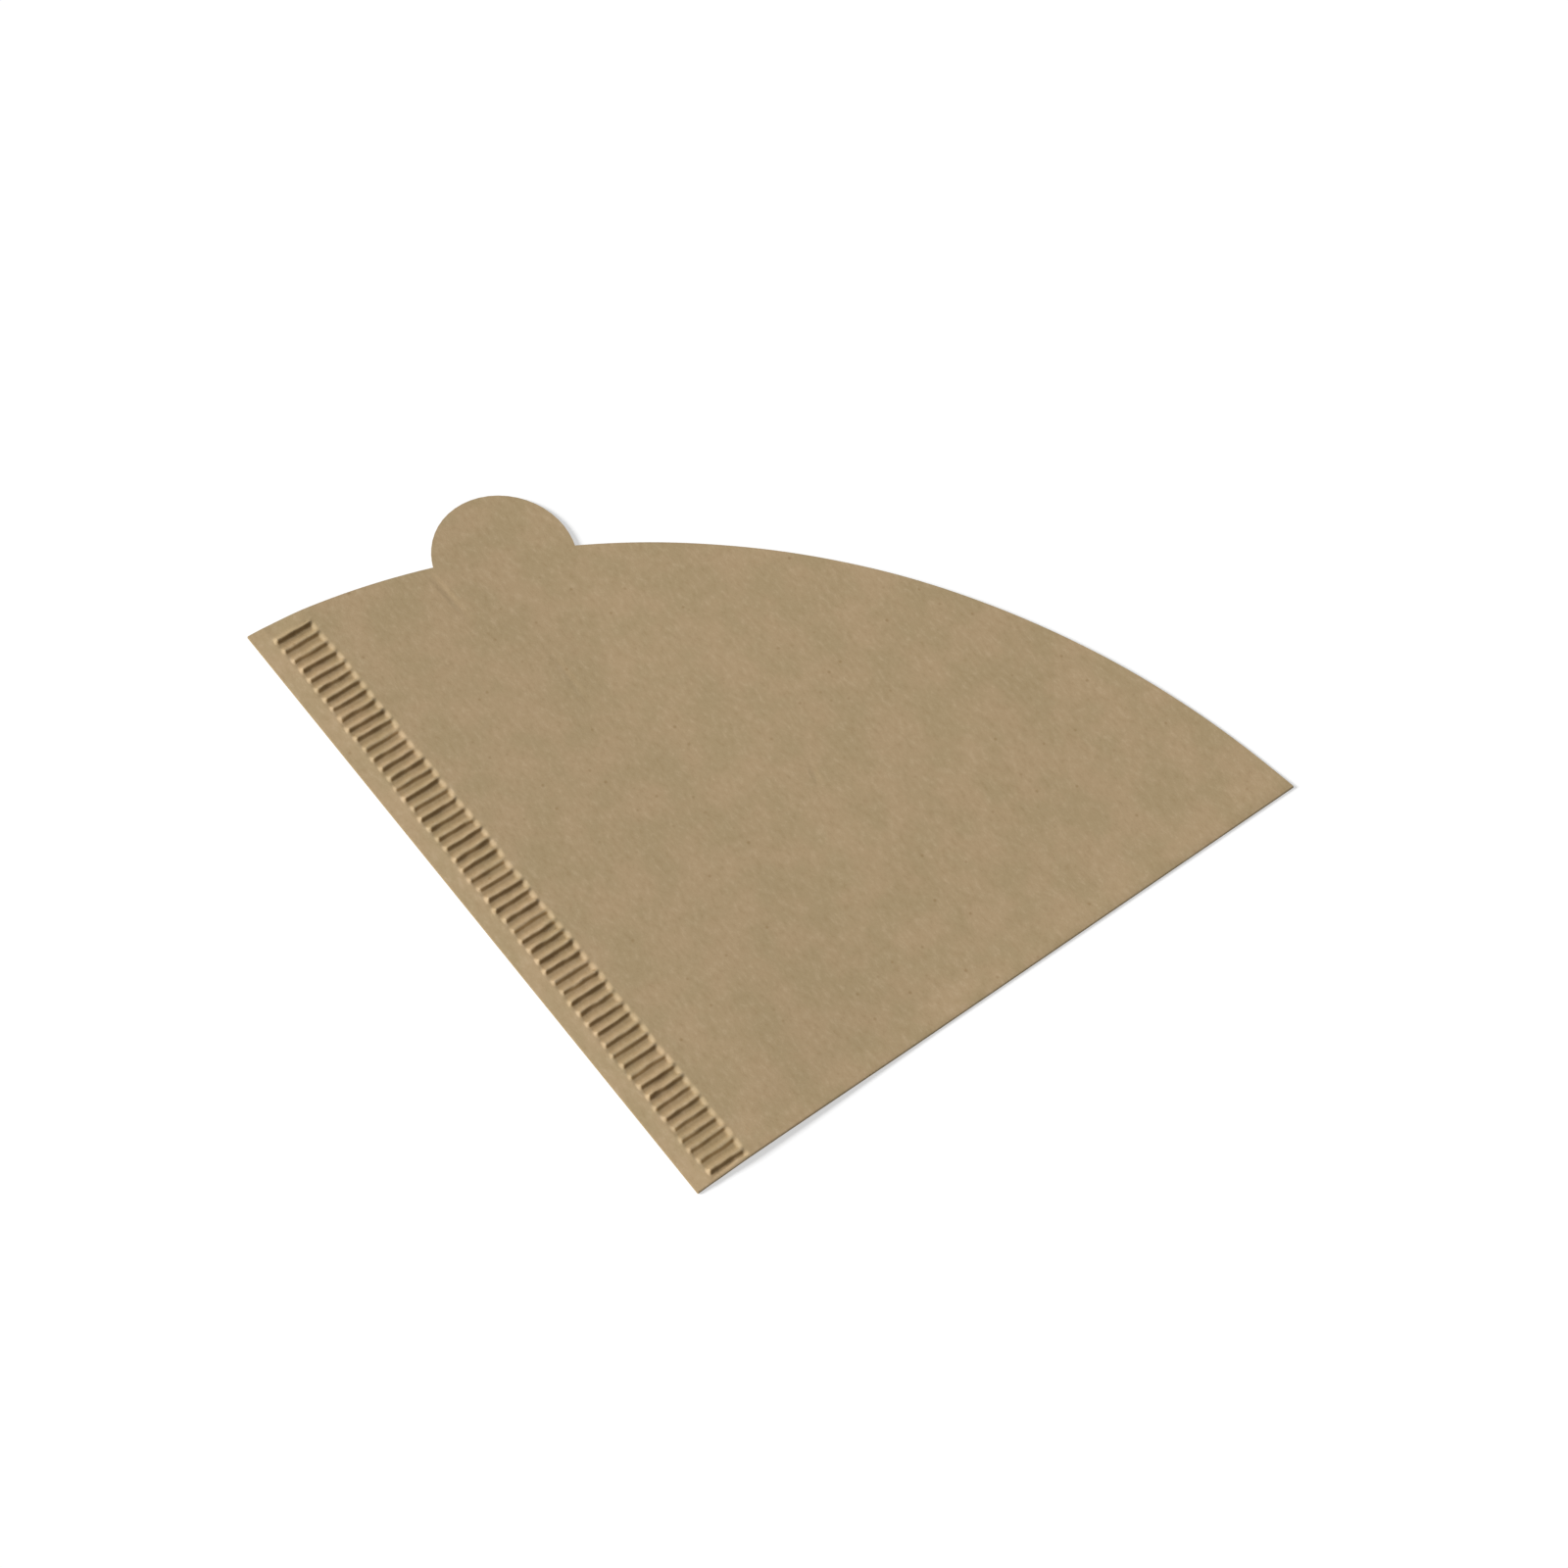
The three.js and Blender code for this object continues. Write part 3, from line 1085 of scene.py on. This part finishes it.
@dataclass(frozen=True)
class PhotoCamera:
    """A camera where the photograph's stood, measured from the corner of the fold and the cut edge.

    The azimuth is 0 looking along +Y, and the roll turns the picture about the line of sight. Angles in
    degrees, distances in mm.
    """

    azimuth: float = -13.64
    elevation: float = 58.58
    roll: float = 22.21
    distance: float = 681.1
    focal_pixels: float = 4090.0
    aim: tuple[float, float, float] = (6.34, 77.5, 1.0)
    clip: tuple[float, float] = (0.01, 20.0)   # nearest and farthest that it sees, in metres

    def build(self, corner: Vector) -> bpy.types.Object:
        """Makes the camera and makes it the scene's.

        Args:
            corner: The corner of the fold and the cut edge, in metres.

        Returns:
            The camera.
        """
        az, el, roll = (math.radians(a) for a in (self.azimuth, self.elevation, self.roll))
        back = Vector((math.sin(az) * math.cos(el), -math.cos(az) * math.cos(el), math.sin(el)))
        level = (-back).cross(Vector((0.0, 0.0, 1.0))).normalized()
        upright = level.cross(-back)
        right = level * math.cos(roll) + upright * math.sin(roll)
        up = upright * math.cos(roll) - level * math.sin(roll)
        data = bpy.data.cameras.new("photo_camera")
        data.sensor_width = SENSOR_MM
        data.lens = self.focal_pixels / PHOTO_PIXELS * SENSOR_MM
        data.clip_start, data.clip_end = self.clip
        camera = bpy.data.objects.new("photo_camera", data)
        camera.matrix_world = Matrix((right, up, back)).transposed().to_4x4()
        camera.location = corner + Vector(self.aim) * MM + back * self.distance * MM
        bpy.context.scene.collection.objects.link(camera)
        bpy.context.scene.camera = camera
        return camera


@dataclass(frozen=True)
class PlainStudio:
    """A pale floor, a low soft light from the seam's side and a weak even light from all round.

    The lights are set so that a flat face that looks up gets the light that shows a colour as written:
    the window's strength times the sine of its elevation, plus pi times the sky's, is pi.
    """

    window_azimuth: float = 196.0    # degrees from the X axis
    window_elevation: float = 28.0
    window_softness: float = 20.0    # degrees that the window fills, as the sheet sees it
    sky_share: float = 0.2           # the even light's share of all
    floor_size: float = 4.0          # metres
    floor_colour: str = "#e8e8e6"
    floor_glow: float = 0.55         # part of the floor's white that glows, for the camera alone
    floor_white: float = 1.03        # all of its white, glow and reflected light together

    def build(self) -> bpy.types.Object:
        """Makes the floor, the lamp and the world.

        Returns:
            The floor.
        """
        elevation = math.radians(self.window_elevation)
        azimuth = math.radians(self.window_azimuth)
        lamp = bpy.data.lights.new("window", "SUN")
        lamp.energy = math.pi * (1.0 - self.sky_share) / math.sin(elevation)
        lamp.angle = math.radians(self.window_softness)
        window = bpy.data.objects.new("window", lamp)
        toward = Vector((math.cos(azimuth) * math.cos(elevation),
                         math.sin(azimuth) * math.cos(elevation), math.sin(elevation)))
        window.rotation_mode = "QUATERNION"
        window.rotation_quaternion = toward.to_track_quat("Z", "Y")
        bpy.context.scene.collection.objects.link(window)
        self.build_sky()
        return self.build_floor()

    def build_sky(self) -> None:
        """The even light from all round, which the camera and reflections see as white."""
        world = bpy.data.worlds.new("studio")
        bpy.context.scene.world = world
        world.use_nodes = True
        tree = world.node_tree
        tree.nodes.clear()
        path = add_node(tree, "ShaderNodeLightPath")
        seen = add_node(tree, "ShaderNodeMath", {"operation": "MAXIMUM"},
                        {0: path.outputs["Is Camera Ray"], 1: path.outputs["Is Glossy Ray"]})
        shown = add_node(tree, "ShaderNodeMath", {"operation": "MAXIMUM"},
                         {0: seen.outputs[0], 1: path.outputs["Is Transmission Ray"]})
        light = add_node(tree, "ShaderNodeBackground", {}, {"Color": WHITE, "Strength": self.sky_share})
        white = add_node(tree, "ShaderNodeBackground", {}, {"Color": WHITE, "Strength": 1.0})
        mixed = add_node(tree, "ShaderNodeMixShader", {},
                         {0: shown.outputs[0], 1: light.outputs[0], 2: white.outputs[0]})
        add_node(tree, "ShaderNodeOutputWorld", {}, {"Surface": mixed.outputs[0]})

    def build_floor(self) -> bpy.types.Object:
        """The floor: pale for the light that it throws back, white to the camera outside a soft shadow.

        To the camera part of its white glows, which keeps the shadow soft and light.

        Returns:
            The floor.
        """
        half = self.floor_size / 2
        mesh = bpy.data.meshes.new("floor")
        mesh.from_pydata([(-half, -half, 0), (half, -half, 0), (half, half, 0), (-half, half, 0)], [],
                         [(0, 1, 2, 3)])
        floor = bpy.data.objects.new("floor", mesh)
        bpy.context.scene.collection.objects.link(floor)
        material = bpy.data.materials.new("matt studio floor")
        material.use_nodes = True
        tree = material.node_tree
        tree.nodes.clear()
        path = add_node(tree, "ShaderNodeLightPath")
        pale = add_node(tree, "ShaderNodeBsdfDiffuse", {}, {"Color": linear(self.floor_colour)})
        plain = self.floor_white - self.floor_glow
        lit = add_node(tree, "ShaderNodeBsdfDiffuse", {}, {"Color": (plain, plain, plain, 1.0)})
        glow = add_node(tree, "ShaderNodeEmission", {}, {"Color": WHITE, "Strength": self.floor_glow})
        white = add_node(tree, "ShaderNodeAddShader", {}, {0: lit.outputs[0], 1: glow.outputs[0]})
        mixed = add_node(tree, "ShaderNodeMixShader", {},
                         {0: path.outputs["Is Camera Ray"], 1: pale.outputs[0], 2: white.outputs[0]})
        add_node(tree, "ShaderNodeOutputMaterial", {}, {"Surface": mixed.outputs[0]})
        mesh.materials.append(material)
        return floor


def main() -> None:
    """Builds the scene: the camera, the sheet with its finishes, and the studio."""
    logging.basicConfig(level=logging.INFO, format="%(name)s: %(message)s")
    bpy.context.scene.view_settings.view_transform = "Standard"
    sheet = FoldedSheet()
    corner = Vector(sheet.to_frame(np.zeros((1, 3)))[0])
    camera = PhotoCamera().build(corner)
    log.info("%s: lens of %.0f mm", camera.name, camera.data.lens)

    paper = sheet.build("filter_paper_sheet")
    sheet.dress(paper)
    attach(paper, "root")
    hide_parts(CAD_NODE)
    log.info("%s: %d faces", paper.name, len(paper.data.polygons))

    floor = PlainStudio().build()
    log.info("%s: %.0f m wide", floor.name, floor.dimensions.x)


if __name__ == "__main__":
    main()
